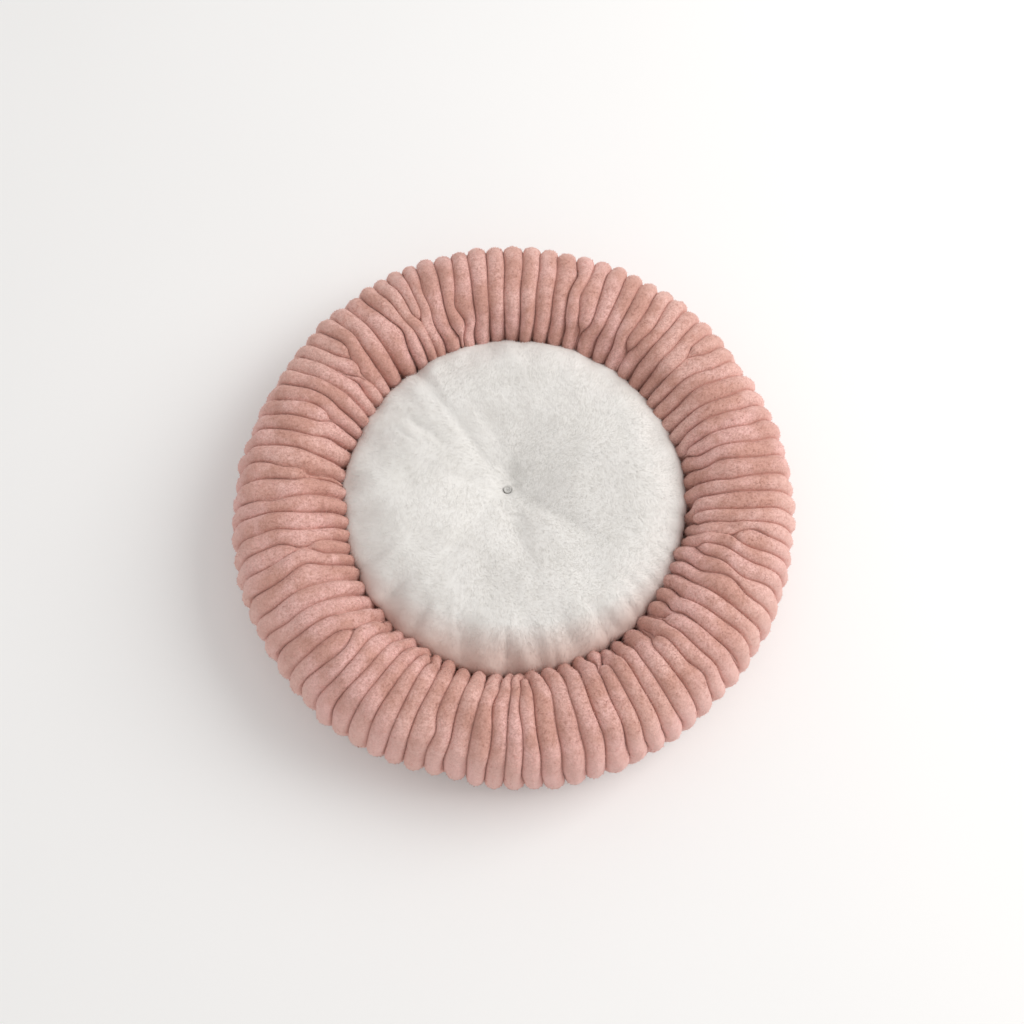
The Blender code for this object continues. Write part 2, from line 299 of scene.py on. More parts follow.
def fur_material():
    """Short white fur, with painted shade and a painted pink bounce from the plush along its front rim."""
    made, tree, shader = new_material("white_fur")
    swirl = noise(tree, 22, 3, 0.5)
    hairs = noise(tree, 420, 4, 0.65, stretch=(1.0, 0.45, 1.0))
    fine = noise(tree, 1300, 2, 0.6, stretch=(0.5, 1.0, 1.0))
    colour = mix(tree, span(tree, swirl, 0.35, 0.65), (0.80, 0.783, 0.757), (0.85, 0.834, 0.812))
    colour = mix(tree, span(tree, hairs, 0.5, 0.75, 0, 0.18), colour, (0.78, 0.755, 0.725))
    coords = add(tree, "TexCoord").outputs["Object"]
    inputs = {0: coords, 1: PAINTED_SHADE_POINT}
    away = add(tree, "VectorMath", inputs, operation="DISTANCE").outputs["Value"]
    # Painted shade and painted pink bounce along the cushion's front rim, down by the plush.
    colour = mix(tree, span(tree, away, PAINTED_SHADE_FROM, PAINTED_SHADE_FULL), colour, (0.68, 0.54, 0.49))
    under = bump(tree, hairs, 0.0010, 0.3)
    set_inputs(tree, shader, {
        "Base Color": colour,
        "Normal": bump(tree, fine, 0.0005, 0.6, under),
        "Roughness": 0.9,
        "Specular IOR Level": 0.25,
        "Sheen Weight": 0.05,
        "Sheen Roughness": 0.5,
    })
    return made


def weave(tree, pitch, depth, strength=1.0):
    """A plain weave's bump: threads both ways, over and under."""
    coords = add(tree, "TexCoord").outputs["Object"]
    bands = []
    for direction in ("X", "Y"):
        inputs = {"Vector": coords, "Scale": 0.31 / pitch, "Distortion": 0.4, "Detail": 0.0}
        bands.append(add(tree, "TexWave", inputs, bands_direction=direction).outputs["Fac"])
    crossed = times(tree, *bands)
    return bump(tree, crossed, depth, strength), crossed


def cloth_material(name, light, dark, pitch, depth, roughness=0.85, sheen=0.15):
    """A woven cloth in two tones, with its thread pitch and depth in metres."""
    made, tree, shader = new_material(name)
    normal, crossed = weave(tree, pitch, depth)
    worn = noise(tree, 35, 4, 0.6)
    colour = mix(tree, span(tree, worn, 0.3, 0.7), dark, light)
    colour = mix(tree, span(tree, crossed, 0.2, 0.9, 0.35, 0), colour, tuple(part * 0.6 for part in dark))
    set_inputs(tree, shader, {
        "Base Color": colour,
        "Normal": normal,
        "Roughness": roughness,
        "Sheen Weight": sheen,
    })
    return made


def oxford_material():
    return cloth_material("oxford_cloth", (0.44, 0.41, 0.385), (0.36, 0.33, 0.31), 0.0011, 0.0003)


def lining_material():
    return cloth_material("lining", (0.66, 0.43, 0.37), (0.58, 0.36, 0.31), 0.0007, 0.00015)


def satin_material():
    light, dark = (0.86, 0.85, 0.82), (0.80, 0.79, 0.76)
    return cloth_material("satin_label", light, dark, 0.0004, 0.00005, 0.45, 0.3)


def tape_material(name, colour):
    dark = tuple(part * 0.82 for part in colour)
    return cloth_material(name, colour, dark, 0.0006, 0.00012, 0.75, 0.1)


def suede_material():
    """Brushed suede cloth: matt, with faint brushed patches."""
    made, tree, shader = new_material("suede")
    brushed = noise(tree, 26, 4, 0.6)
    nap = noise(tree, 1500, 2, 0.6)
    colour = mix(tree, span(tree, brushed, 0.35, 0.65), (0.66, 0.615, 0.575), (0.74, 0.70, 0.66))
    set_inputs(tree, shader, {
        "Base Color": colour,
        "Normal": bump(tree, nap, 0.0004, 0.6),
        "Roughness": 0.92,
        "Sheen Weight": 0.3,
    })
    return made


def fibre_material(name):
    """Loose polyester fibre."""
    made, tree, shader = new_material(name)
    wisps = noise(tree, 160, 5, 0.7, stretch=(1, 0.3, 1))
    colour = mix(tree, span(tree, wisps, 0.35, 0.7), (0.74, 0.74, 0.72), (0.90, 0.90, 0.88))
    set_inputs(tree, shader, {
        "Base Color": colour,
        "Normal": bump(tree, wisps, 0.003, 0.7),
        "Roughness": 1.0,
        "Sheen Weight": 0.4,
    })
    return made


def nonwoven_material():
    """Spunbond cloth with its pattern of pressed points."""
    made, tree, shader = new_material("nonwoven")
    coords = add(tree, "TexCoord").outputs["Object"]
    inputs = {"Vector": coords, "Scale": 420.0, "Randomness": 0.15}
    cells = add(tree, "TexVoronoi", inputs).outputs["Distance"]
    colour = mix(tree, span(tree, cells, 0.1, 0.4), (0.70, 0.70, 0.68), (0.84, 0.84, 0.82))
    set_inputs(tree, shader, {
        "Base Color": colour,
        "Normal": bump(tree, cells, 0.0003, 0.8),
        "Roughness": 0.9,
    })
    return made


def thread_material(name, colour):
    """Twisted sewing thread."""
    made, tree, shader = new_material(name)
    twist = noise(tree, 2600, 2, 0.5)
    shade = mix(tree, span(tree, twist, 0.35, 0.7), tuple(part * 0.7 for part in colour), colour)
    set_inputs(tree, shader, {
        "Base Color": shade,
        "Normal": bump(tree, twist, 0.0001, 0.8),
        "Roughness": 0.7,
    })
    return made


def smooth_material(name, light, dark, grain, roughness, metallic=0.0):
    """A hard material with a faint grain, for plastic and metal."""
    made, tree, shader = new_material(name)
    specks = noise(tree, grain, 3, 0.6)
    colour = mix(tree, span(tree, specks, 0.35, 0.7), dark, light)
    rough = span(tree, specks, 0.3, 0.7, roughness - 0.06, roughness + 0.08)
    set_inputs(tree, shader, {
        "Base Color": colour,
        "Roughness": rough,
        "Normal": bump(tree, specks, 0.00003, 0.5),
        "Metallic": metallic,
    })
    return made


def resin_material():
    return smooth_material("button_resin", (0.60, 0.59, 0.565), (0.52, 0.51, 0.49), 900, 0.35)


def nylon_material():
    return smooth_material("zip_nylon", (0.60, 0.35, 0.30), (0.52, 0.29, 0.25), 1200, 0.4)


def dot_material():
    return smooth_material("grip_rubber", (0.30, 0.28, 0.27), (0.24, 0.225, 0.215), 700, 0.55)


def metal_material():
    return smooth_material("zip_metal", (0.66, 0.65, 0.63), (0.52, 0.51, 0.49), 1100, 0.3, 1.0)


# ---------------------------------------------------------------- pile
FUR_TURNS_DOWN = (0.140, 0.175)  # the radii between which the fur starts to lie over the rim


def fur_flow(root, draw):
    """Fur leans out from the tuft in soft swirls, and down over the cushion's rim."""
    away = np.arctan2(root[:, 1] - TUFT.y, root[:, 0] - TUFT.x)
    turn = away + 1.3 * lumps(root, 0.07, 62) + 0.4 * draw.normal(size=len(root))
    over_the_rim = 3 * smooth(*FUR_TURNS_DOWN, np.hypot(root[:, 0], root[:, 1]))
    return np.stack([np.cos(turn), np.sin(turn), -over_the_rim], -1)


def ring_flow(root, draw):
    """Short plush stands every way, a little outwards from the hole."""
    outwards = root[:, :2] / np.linalg.norm(root[:, :2], axis=1, keepdims=True)
    return np.concatenate([0.5 * outwards, np.zeros((len(root), 1))], 1) + draw.normal(0, 1, root.shape)


def make_pile(name, face, outward, finish, hairs, size, flow_of, weight):
    """Thin leaning hairs over a face that is closed round its columns, each a tapered blade.

    size is a hair's length, its width, and how much of its length goes up from the face; the rest runs
    along it. weight is how thickly the hairs stand, for each point of the face.
    """
    length, width, rise = size
    draw = np.random.default_rng(61)
    columns = face.shape[1]
    beside, below = np.roll(face, -1, 1) - face, np.roll(face, -1, 0) - face
    share = np.linalg.norm(np.cross(beside, below), axis=-1)[:-1]
    share = share * weight[:-1]
    cells = draw.choice(share.size, hairs, p=share.ravel() / share.sum())
    row, column = cells // columns, cells % columns
    next_column = (column + 1) % columns
    down, across = draw.random(hairs)[:, None], draw.random(hairs)[:, None]

    def between(values):
        upper_row = values[row, column] * (1 - across) + values[row, next_column] * across
        lower_row = values[row + 1, column] * (1 - across) + values[row + 1, next_column] * across
        return upper_row * (1 - down) + lower_row * down

    root, up = between(face), between(outward)
    up /= np.linalg.norm(up, axis=1, keepdims=True)
    flow = flow_of(root, draw)
    flow -= up * (flow * up).sum(-1, keepdims=True)
    flow /= np.linalg.norm(flow, axis=1, keepdims=True)
    side = np.cross(up, flow)
    length = length * draw.uniform(0.6, 1.15, (hairs, 1))
    root = root - up * 0.0005
    along = math.sqrt(1 - rise**2)
    middle = root + length * (0.7 * rise * up + 0.4 * along * flow)
    tip = root + length * (rise * up + along * flow) + side * length * draw.normal(0, 0.10, (hairs, 1))
    half = side * width / 2
    corners = np.stack([root - half, root + half, middle + half * 0.8, middle - half * 0.8, tip], 1)
    first = 5 * np.arange(hairs)[:, None]
    faces = (first + np.array([0, 1, 2, 3])).tolist() + (first + np.array([3, 2, 4])).tolist()
    mesh = bpy.data.meshes.new(name)
    mesh.from_pydata(corners.reshape(-1, 3).tolist(), [], faces)
    pile = new_object(name, mesh, finish)
    paint(pile, "tone", np.repeat(draw.random(hairs), 5))
    return pile


# ---------------------------------------------------------------- the ribbed ring
RIBS = 90
RIB_COLUMNS = 10
COVER_START, COVER_END = -39, 235  # section angles of the plush's edges, in degrees
COVER_ROWS, INSIDE_ROWS = 84, 10
RIB_RELIEF = 0.32  # how far a rib rounds off towards its grooves, as a share of its width
RIB_ROUNDNESS = 1.22  # the radius a rib is rounded to, in half widths
CREVICE = 0.0015  # how much deeper the grooves are, where two ribs press together
TUFTS = 60000
TUFT_LENGTH = 0.0030
TUFT_WIDTH = 0.0006
TUFT_RISE = 0.6
BRUSHED = (15, 85)  # the section angles between which the plush goes from even to brushed
EVEN = 0.35  # how much of the brushed look the even part has
GATHER_DEPTH = 0.0032  # the hollow where a rib runs out
RIB_LUMPS, TIP_LUMPS = 0.0010, 0.0030  # how unevenly ribs stand, along them and at their inner tips
WIDEST_RIB = 0.026
SUNK = 0.0060  # how far a rib that runs out sinks between its neighbours
PITCH = 360 / RIBS
GIVE = 3  # how many neighbours on each side widen where a rib runs out
COVER_BACK = 0.0130  # how deep the plush's back lies under its crests

# Ribs that run out on their way in, where the cloth is gathered: (azimuth, section angle)
RIB_ENDS = (
    (15, 146), (36, 94), (52, 132), (69.5, 134), (105, 142), (117, 114), (142, 98), (146, 118),
    (161.5, 118), (177, 110), (197, 94), (223, 102), (240, 150), (272, 146), (295, 128), (310, 116),
    (317, 122), (338, 132), (347, 98), (354, 150),
)
# Ribs that only come up further in
RIB_STARTS = ((199, 112), (319, 132), (294, 140), (148, 132))
# How far a rib leans round on its way in: (azimuth, degrees)
LEAN = (
    (8, -2.4), (25, -0.6), (42, -1.4), (60, -2.2), (78, -1.0), (98, 2.0), (112, 2.2), (126, -1.6),
    (138, 0.2), (153, -1.6), (168, -2.0), (184, 0.2), (203, 0.6), (220, 3.2), (236, 2.0), (250, 0.6),
    (265, 1.8), (276, -2.0), (292, 0.4), (304, -0.6), (318, -0.2), (334, 1.8), (344, -0.6),
    (356, -3.6),
)
# Sideways kinks in the grooves: (azimuth, section angle, degrees)
KINKS = (
    (3, 104, -0.9), (7, 114, 0.8), (37, 90, 0.9), (51, 100, -0.7), (68.5, 100, 0.9), (75.5, 80, -0.8),
    (104.5, 112, 1.3), (114, 88, 0.7), (127.5, 112, -1.1), (160, 96, -0.7), (175, 90, 0.9),
    (183.7, 82, 1.0), (205, 98, -1.1), (227, 84, 0.8), (252.5, 66, 0.8), (264, 96, -0.9),
    (271, 96, -0.8), (284, 84, 0.5), (311, 62, 0.8), (333, 92, 1.2), (338, 84, -0.8), (345, 82, 1.0),
    (357, 78, -0.7),
)
# The ring isn't a true circle: (azimuth, width in degrees, metres out)
BULGES = (
    (24, 24, -0.0055), (105, 14, 0.0035), (150, 26, -0.0030), (205, 16, 0.0020), (232, 14, 0.0050),
    (255, 9, -0.0030), (281, 14, 0.0025), (330, 24, -0.0030),
)
# Nor is the edge of its hole, which the cushion pushes out at the front: (azimuth, width, metres out)
LIP = ((266, 46, -0.0130), (180, 40, -0.0020), (80, 40, 0.0020))


def slowed(change, angles, spread):
    """The same change down the rows, spread over that many more degrees either way."""
    if not spread:
        return change
    weight = np.exp(-(((angles[:, None] - angles[None, :]) / spread) ** 2))
    return change @ (weight / weight.sum(0))


class RibPattern:
    """Where the grooves between the ribs run, for each row round the section."""

    def __init__(self, angles):
        self.angles = angles  # degrees, one for each row
        even = (np.arange(RIBS) + 0.5) * PITCH
        azimuths = even.tolist()
        presence = [np.ones(len(angles)) for _ in azimuths]
        full = [1.0] * RIBS
        for azimuth, end in RIB_ENDS:
            nearest = int(azimuth // PITCH) % RIBS
            presence[nearest] = 1 - 0.97 * smooth(end - 13, end + 7, angles)
        for azimuth, start in RIB_STARTS:
            azimuths.append(azimuth)
            presence.append(0.02 + 0.9 * smooth(start - 9, start + 12, angles))
            full.append(0.0)
        order = np.argsort(azimuths)
        self.centres = np.array(azimuths)[order]
        self.presence = np.array(presence)[order]
        self.full = np.array(full)[order]
        self.grooves = self._grooves()

    def _grooves(self):
        """Groove azimuths in degrees, as (rows, ribs + 1); the last is the first, a turn on."""
        count = len(self.centres)
        still = np.concatenate([[0.0], np.cumsum(self.full)]) * PITCH
        change = (self.presence - self.full[:, None]) * PITCH
        steps = np.arange(count + 1)[:, None] - np.arange(count)[None, :]
        steps = (steps + count // 2) % count - count // 2
        away = np.where(steps > 0, steps - 1, -steps)
        made = np.repeat(still[None, :], len(self.angles), axis=0)
        for near in range(GIVE):
            share = np.where(away == near, 0.5 - 0.5 * near / GIVE, 0) * np.where(steps > 0, 1, -1)
            made += (share @ slowed(change, self.angles, 8.0 * near)).T
        made += self._sideways(still[None, :], self.angles[:, None])
        groove_id = np.arange(count + 1)[None, :] * 1.7
        own = np.stack(np.broadcast_arrays(groove_id, self.angles[:, None] / 57), -1)
        made += 0.27 * lumps(own, 0.55, 8)
        for place, where, shift in KINKS:
            row = np.abs(self.angles - where).argmin()
            groove = np.abs(turn_difference(made[row], place)).argmin()
            made[:, groove] += 1.2 * shift * hump(self.angles, where, 13)
        made[:, -1] = made[:, 0] + 360
        return made

    def _sideways(self, azimuth, angle):
        """Lean and small wanders that neighbours share, in degrees."""
        keys = [key for key, _ in LEAN]
        leans = [lean for _, lean in LEAN]
        lean = np.interp(azimuth, [keys[-1] - 360, *keys, keys[0] + 360], [leans[-1], *leans, leans[0]])
        moved = lean * smooth(-60, 200, angle) * 1.3
        return moved + 0.22 * lumps(polar(1.0, np.radians(azimuth), angle / 90), 0.5, 5)


def bumps_round(azimuth, table):
    """The sum of a table's (azimuth, width, size) humps, for azimuths in degrees."""
    return sum(size * hump(turn_difference(azimuth, place), 0, width) for place, width, size in table)


def ring_shape(azimuth, angle):
    """How far the ring's body stands out from the CAD's, in metres: its bulges and soft lumps."""
    degrees = np.degrees(azimuth)
    spots = polar(1.0, azimuth, angle / 1.2)
    outer = smooth(-0.7, -0.1, angle) * (1 - smooth(1.2, 2.2, angle))
    inner = smooth(1.6, 2.5, angle) * (1 - smooth(3.2, 4.0, angle))
    out = bumps_round(degrees, BULGES) * outer + bumps_round(degrees, LIP) * inner
    soft = 0.0014 * lumps(spots, 0.4, 11) + 0.0006 * lumps(spots, 0.16, 12)
    return out + soft * edge_fade(np.degrees(angle))


def edge_fade(degrees):
    """1 over most of the ring, 0 at the plush's two sewn edges."""
    begun = smooth(COVER_START, COVER_START + 24, degrees)
    return begun * (1 - smooth(COVER_END - 28, COVER_END, degrees))


def ring_layer(azimuth, angle, depth):
    """Points under the plush, at a depth below its crests."""
    radius, height = section(angle)
    normal_r, normal_z = section_normal(angle)
    out = ring_shape(azimuth, angle) - depth
    return polar(radius + out * normal_r, azimuth, height + out * normal_z)


def gather_depth(azimuth, angle):
    """The extra hollow where ribs run out, in metres."""
    degrees, around = np.degrees(azimuth), np.degrees(angle)
    depth = 0.0
    for place, where in RIB_ENDS:
        beside = hump(turn_difference(degrees, place), 0, 1.5)
        depth = depth + GATHER_DEPTH * beside * hump(around, where + 6, 12)
    return depth


def across_ribs(pattern):
    """For the columns across each rib: azimuth, rib width, how far up the rib, how far in a crevice."""
    share = (1 - np.cos(np.pi * np.arange(RIB_COLUMNS) / RIB_COLUMNS)) / 2
    aside = np.abs(2 * share - 1)
    lowest = RIB_ROUNDNESS - math.sqrt(RIB_ROUNDNESS**2 - 1)
    up = 1 - (RIB_ROUNDNESS - np.sqrt(RIB_ROUNDNESS**2 - aside**2)) / lowest
    left, width = pattern.grooves[:, :-1, None], np.diff(pattern.grooves, axis=1)[:, :, None]
    shape = (*width.shape[:2], RIB_COLUMNS)
    fields = (np.radians(left + width * share), np.radians(width), up, smooth(0.9, 1.0, aside))
    return (np.broadcast_to(field, shape).reshape(shape[0], -1) for field in fields)


def rib_surface(angles):
    """The plush's outer face: its points (rows, columns, 3), how far each is up its rib, its azimuth."""
    pattern = RibPattern(angles)
    azimuth, width, up, crevice = across_ribs(pattern)
    angle = np.radians(angles)[:, None]
    radius, height = section(angle)
    rib = np.repeat(np.arange(len(pattern.centres)), RIB_COLUMNS)[None, :]
    own = np.stack(np.broadcast_arrays(rib * 0.37, angle), -1)
    wide = np.clip(width * radius, 0, WIDEST_RIB)
    tips = smooth(112, 148, angles)[:, None]
    flatter = 1 - 0.22 * (smooth(15, 50, angles) * (1 - smooth(105, 130, angles)))[:, None]
    relief = RIB_RELIEF * wide * (1 + 0.10 * lumps(own, 0.9, 3)) * (flatter + 0.7 * tips)
    standing = RIB_LUMPS * lumps(own, 0.5, 4) + TIP_LUMPS * lumps(own, 1.1, 7) * tips
    fade = edge_fade(angles)[:, None]
    drop = relief * (1 - up) + CREVICE * (1 + 0.8 * tips) * crevice * np.clip(wide / 0.018, 0, 1)
    drop = drop + SUNK * (1 - smooth(0.002, 0.010, wide))
    out = ring_shape(azimuth, angle) + 0.001 - (0.3 + 0.7 * fade) * drop
    out = out + fade * (standing - gather_depth(azimuth, angle))
    normal_r, normal_z = section_normal(angle)
    return polar(radius + out * normal_r, azimuth, height + out * normal_z), up - 0.6 * crevice, azimuth


def make_ring_cover(finish):
    """The plush sleeve: its ribbed face, and the plain back of the cloth inside it."""
    face_angles = np.linspace(COVER_START, COVER_END, COVER_ROWS)
    points, up, azimuth = rib_surface(face_angles)
    back_angles = np.linspace(COVER_END, COVER_START, INSIDE_ROWS)[:, None]
    row = np.linspace(0, 1, INSIDE_ROWS)[:, None]
    back_azimuth = azimuth[-1] * (1 - row) + azimuth[0] * row
    depth = 0.004 + (COVER_BACK - 0.004) * edge_fade(back_angles)
    backing = ring_layer(back_azimuth, np.radians(back_angles), depth)
    cover = grid("plush_ring", np.concatenate([points, backing]), finish, wrap_rows=True)
    face_outwards(cover)
    plain = np.ones((INSIDE_ROWS, up.shape[1]))
    # The groove attribute drives the painted shade in the grooves between the ribs.
    paint(cover, "groove", np.concatenate([up, plain]))
    worn = np.broadcast_to(EVEN + (1 - EVEN) * smooth(*BRUSHED, face_angles[:, None]), up.shape)
    paint(cover, "worn", np.concatenate([worn, plain]))
    outward = grid_normals(points)
    outward *= np.sign(outward[len(points) // 2, 0, 2])
    weight = worn * (up > 0.1)
    size = (TUFT_LENGTH, TUFT_WIDTH, TUFT_RISE)
    pile = make_pile("plush_pile", points, outward, finish, TUFTS, size, ring_flow, weight)
    # The pile gets none of the painted groove shade.
    paint(pile, "groove", np.ones(len(pile.data.vertices)))
    x, y, z = points_of(pile).T
    angle = np.degrees(np.arctan2(z - WAIST_HEIGHT, np.hypot(x, y) - RING_RADIUS))
    paint(pile, "worn", smooth(*BRUSHED, angle % 360))
    return cover, pile


def make_ring_bag(finish):
    """The bag that holds the filling, with the slit it was filled through underneath."""
    slit = 3
    outer_angles = np.radians(np.linspace(-90 + slit, 270 - slit, 60))[:, None]
    azimuth = np.linspace(0, FULL_TURN, 240, endpoint=False)[None, :]
    creased = COVER_BACK + 0.0006 + 0.0003 * (1 + lumps(polar(1.0, azimuth, outer_angles), 0.06, 31) / 2)
    outside = ring_layer(azimuth, outer_angles, creased)
    inside = ring_layer(azimuth, outer_angles[::-1], creased[::-1] + 0.0004)
    return face_outwards(grid("ring_bag", np.concatenate([outside, inside]), finish, wrap_rows=True))


def make_ring_stuffing(finish):
    angles = np.radians(np.linspace(0, 360, 48, endpoint=False) - 90)[:, None]
    azimuth = np.linspace(0, FULL_TURN, 240, endpoint=False)[None, :]
    depth = COVER_BACK + 0.0035 + 0.0010 * lumps(polar(1.0, azimuth, angles), 0.12, 32)
    return face_outwards(grid("ring_stuffing", ring_layer(azimuth, angles, depth), finish, wrap_rows=True))


# ---------------------------------------------------------------- the base
BASE_CLOTH = 0.0009  # the base cloth's thickness
FLAT_RADIUS = RING_RADIUS  # where the base cloth starts to turn up
DOT_SPACING, DOT_RADIUS, DOT_HEIGHT = 0.014, 0.0018, 0.0005
LINING_TUCK = 0.0065  # how far the lining's edge is tucked under the ring
SEAM_ANGLE = math.radians(-45)  # where plush and base cloth meet, round the section
TURNED_UP_TO = math.radians(-51.5)  # where the base cloth's edge lies, round the section
ZIP_START, ZIP_END = math.radians(30), math.radians(150)
SEAM_RADIUS = float(section(np.array(SEAM_ANGLE))[0])
TAPE_START, TAPE_END = ZIP_END + math.radians(0.3), FULL_TURN + ZIP_START - math.radians(0.3)
# The seam tape's section, from the middle of the seam: (along, out)
TAPE_SECTION = (
    (-0.0033, -0.0016), (-0.0028, -0.0009), (0, -0.0008), (0.0028, -0.0009), (0.0033, -0.0016),
    (0, -0.0018),
)
STITCH_PITCH, STITCH_LENGTH, STITCH_THREAD = 0.0045, 0.0032, 0.00032
STITCH_ROWS, STITCH_OUT = (-0.0024, 0.0024), -0.00075
LABEL_LENGTH, LABEL_HALF_WIDTH, LABEL_THICKNESS = 0.016, 0.013, 0.00025
LABEL_END = (0.2975, 0.0020)  # the radius and height that the label droops to


def seam_spot(azimuth, along, out):
    """Points in the seam: along the surface, up, and straight out of it, from the seam's middle."""
    radius, height = section(np.array(SEAM_ANGLE))
    normal_r, normal_z = section_normal(np.array(SEAM_ANGLE))
    return polar(
        radius - along * normal_z + out * normal_r, azimuth, height + along * normal_r + out * normal_z
    )


def seam_strip(name, outline, start, end, steps, finish):
    """A closed strip that runs in the seam, from an outline of (along, out) corners."""
    azimuth = np.linspace(start, end, steps)[None, :]
    along, out = np.array(outline).T[:, :, None]
    strip = grid(name, seam_spot(azimuth, along, out), finish, wrap_rows=True, wrap_columns=False)
    mesh = bmesh.new()
    mesh.from_mesh(strip.data)
    bmesh.ops.holes_fill(mesh, edges=[edge for edge in mesh.edges if edge.is_boundary])
    bmesh.ops.recalc_face_normals(mesh, faces=mesh.faces)
    mesh.to_mesh(strip.data)
    mesh.free()
    strip.data.set_sharp_from_angle(angle=math.radians(40))
    return strip


def make_base_cloth(finish):
    """The base cloth: flat where it rests, gathered a little where it turns up to the seam."""
    flat = np.linspace(0.0004, FLAT_RADIUS - 0.006, 24)
    rim_angles = np.linspace(math.radians(-90), TURNED_UP_TO, 12)
    rim_radius, rim_height = section(rim_angles, -BASE_TOP)
    azimuth = np.linspace(0, FULL_TURN, 360, endpoint=False)[None, :]
    radius = np.concatenate([flat, rim_radius])[:, None]
    height = np.concatenate([np.zeros(len(flat)), np.maximum(rim_height, 0)])[:, None]
    gather = lumps(polar(1.0, azimuth, radius * 2), 0.022, 41) * hump(radius, FLAT_RADIUS + 0.010, 0.012)
    height = np.maximum(height + 0.0004 * gather, 0) + DOT_HEIGHT * (1 - smooth(0.22, 0.27, radius))
    outside = polar(radius, azimuth, height)
    inside = outside[::-1] + [0, 0, BASE_CLOTH]
    return face_outwards(grid("base_cloth", np.concatenate([outside, inside]), finish, wrap_rows=True))


def add_dot(mesh, x, y):
    """One low rubber dot, rounded off below."""
    corners = np.arange(10) * math.pi / 5
    loops = []
    for share, z in ((1, DOT_HEIGHT + 0.0002), (0.85, 0.0002), (0.4, 0.0)):
        ring = polar(DOT_RADIUS * share, corners, z) + (x, y, 0)
        loops.append([mesh.verts.new(point) for point in ring])
    for outer, inner in zip(loops, loops[1:]):
        for k in range(10):
            mesh.faces.new((outer[k], outer[k - 1], inner[k - 1], inner[k]))
    mesh.faces.new(loops[-1])
    mesh.faces.new(loops[0][::-1])


def make_grip_dots(finish):
    """Rows of dots under the base cloth, every second row half a step on."""
    mesh = bmesh.new()
    count = int(FLAT_RADIUS // DOT_SPACING)
    for row in range(-count, count + 1):
        for column in range(-count, count + 1):
            x, y = (column + (row % 2) / 2) * DOT_SPACING, row * DOT_SPACING * math.sqrt(0.75)
            if math.hypot(x, y) <= FLAT_RADIUS - 0.02:
                add_dot(mesh, x, y)
    bmesh.ops.recalc_face_normals(mesh, faces=mesh.faces)
    data = bpy.data.meshes.new("grip_dots")
    mesh.to_mesh(data)
    mesh.free()
    return new_object("grip_dots", data, finish)


def make_disc(name, radius, low, high, finish, soft, seed, rows=40, columns=240):
    """A round layer between two heights, its top soft with lumps, its edge rounded off."""
    shares = np.linspace(0.002, 1, rows)
    azimuth = np.linspace(0, FULL_TURN, columns, endpoint=False)[None, :]
    radii = (radius * shares)[:, None]
    top = polar(radii, azimuth, high)
    rise = soft * (lumps(top, 0.05, seed) - 1.2) / 2.2
    top[..., 2] += rise * smooth(0, 0.2, shares)[:, None]
    edge = (high - low) * 0.5 * (1 - np.sqrt(1 - shares[:, None] ** 40))
    top[..., 2] -= edge
    bottom = polar(radii, azimuth, low + edge * 0.9)[::-1]
    return face_outwards(grid(name, np.concatenate([top, bottom]), finish, wrap_rows=True))


def make_stitches(finish):
    """Two rows of short stitches in the seam, each a little capsule of thread."""
    count = int((TAPE_END - TAPE_START) * SEAM_RADIUS / STITCH_PITCH)
    profile = np.array([(-1.0, 0.15), (-0.8, 0.8), (0.0, 1.0), (0.8, 0.8), (1.0, 0.15)])
    corners = np.arange(6) * math.pi / 3
    pieces, faces = [], []
    for along in STITCH_ROWS:
        for k in range(count):
            middle = TAPE_START + (k + 0.5) * (TAPE_END - TAPE_START) / count
            azimuth = middle + profile[:, :1] * STITCH_LENGTH / 2 / SEAM_RADIUS
            aside = STITCH_THREAD * profile[:, 1:] * np.cos(corners)
            out = STITCH_THREAD * profile[:, 1:] * np.sin(corners)
            first = len(pieces) * aside.size
            pieces.append(seam_spot(azimuth, along + aside, STITCH_OUT + out).reshape(-1, 3))
            for start in range(first, first + aside.size - 6, 6):
                for j in range(6):
                    a, b = start + j, start + (j + 1) % 6
                    faces.append((a, b, b + 6, a + 6))
            last = first + aside.size - 6
            faces.append(tuple(range(first + 5, first - 1, -1)))
            faces.append(tuple(range(last, last + 6)))
    mesh = bpy.data.meshes.new("seam_stitches")
    mesh.from_pydata(np.concatenate(pieces).tolist(), [], faces)
    return face_outwards(new_object("seam_stitches", mesh, finish))


def make_label(finish):
    """A blank satin label, folded over and curling down towards the floor."""
    low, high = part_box("care_label")
    middle = (low + high) / 2
    azimuth = math.atan2(middle.y, middle.x)
    root = seam_spot(np.array(azimuth), 0.0, 0.0008)
    root_r, root_z = math.hypot(root[0], root[1]), root[2]
    steps = np.linspace(0, 1, 14)[:, None]
    droop_r = root_r + (LABEL_END[0] - root_r) * steps**0.9
    droop_z = root_z + (LABEL_END[1] - root_z) * steps**1.25
    across = np.linspace(-1, 1, 15)[None, :]
    curl = 0.0007 * np.cos(across * 2.2) * steps
    out, side = polar(1.0, np.array([azimuth, azimuth + math.pi / 2]), 0.0)
    up = np.array([0, 0, 1.0])
    aside = (across * LABEL_HALF_WIDTH)[..., None] * side
    face = droop_r[..., None] * out + aside + (droop_z + curl)[..., None] * up
    label = grid("blank_label", face, finish, wrap_columns=False)
    solid = label.modifiers.new("Thickness", "SOLIDIFY")
    solid.thickness = LABEL_THICKNESS
    solid.offset = 1
    return label


# ---------------------------------------------------------------- the zip
COIL_PITCH, COIL_THREAD = 0.0013, 0.00026
COIL_MIDDLE = 0.00132  # how far a coil's middle lies from the middle of the seam
COIL_HALF_WIDTH, COIL_HALF_HEIGHT = 0.00055, 0.00058
COIL_START, COIL_END = ZIP_START + math.radians(0.55), ZIP_END - math.radians(0.55)
TAPE_NEAR, TAPE_FAR, TAPE_TOP, TAPE_BOTTOM = 0.0006, 0.0033, -0.00135, -0.00195


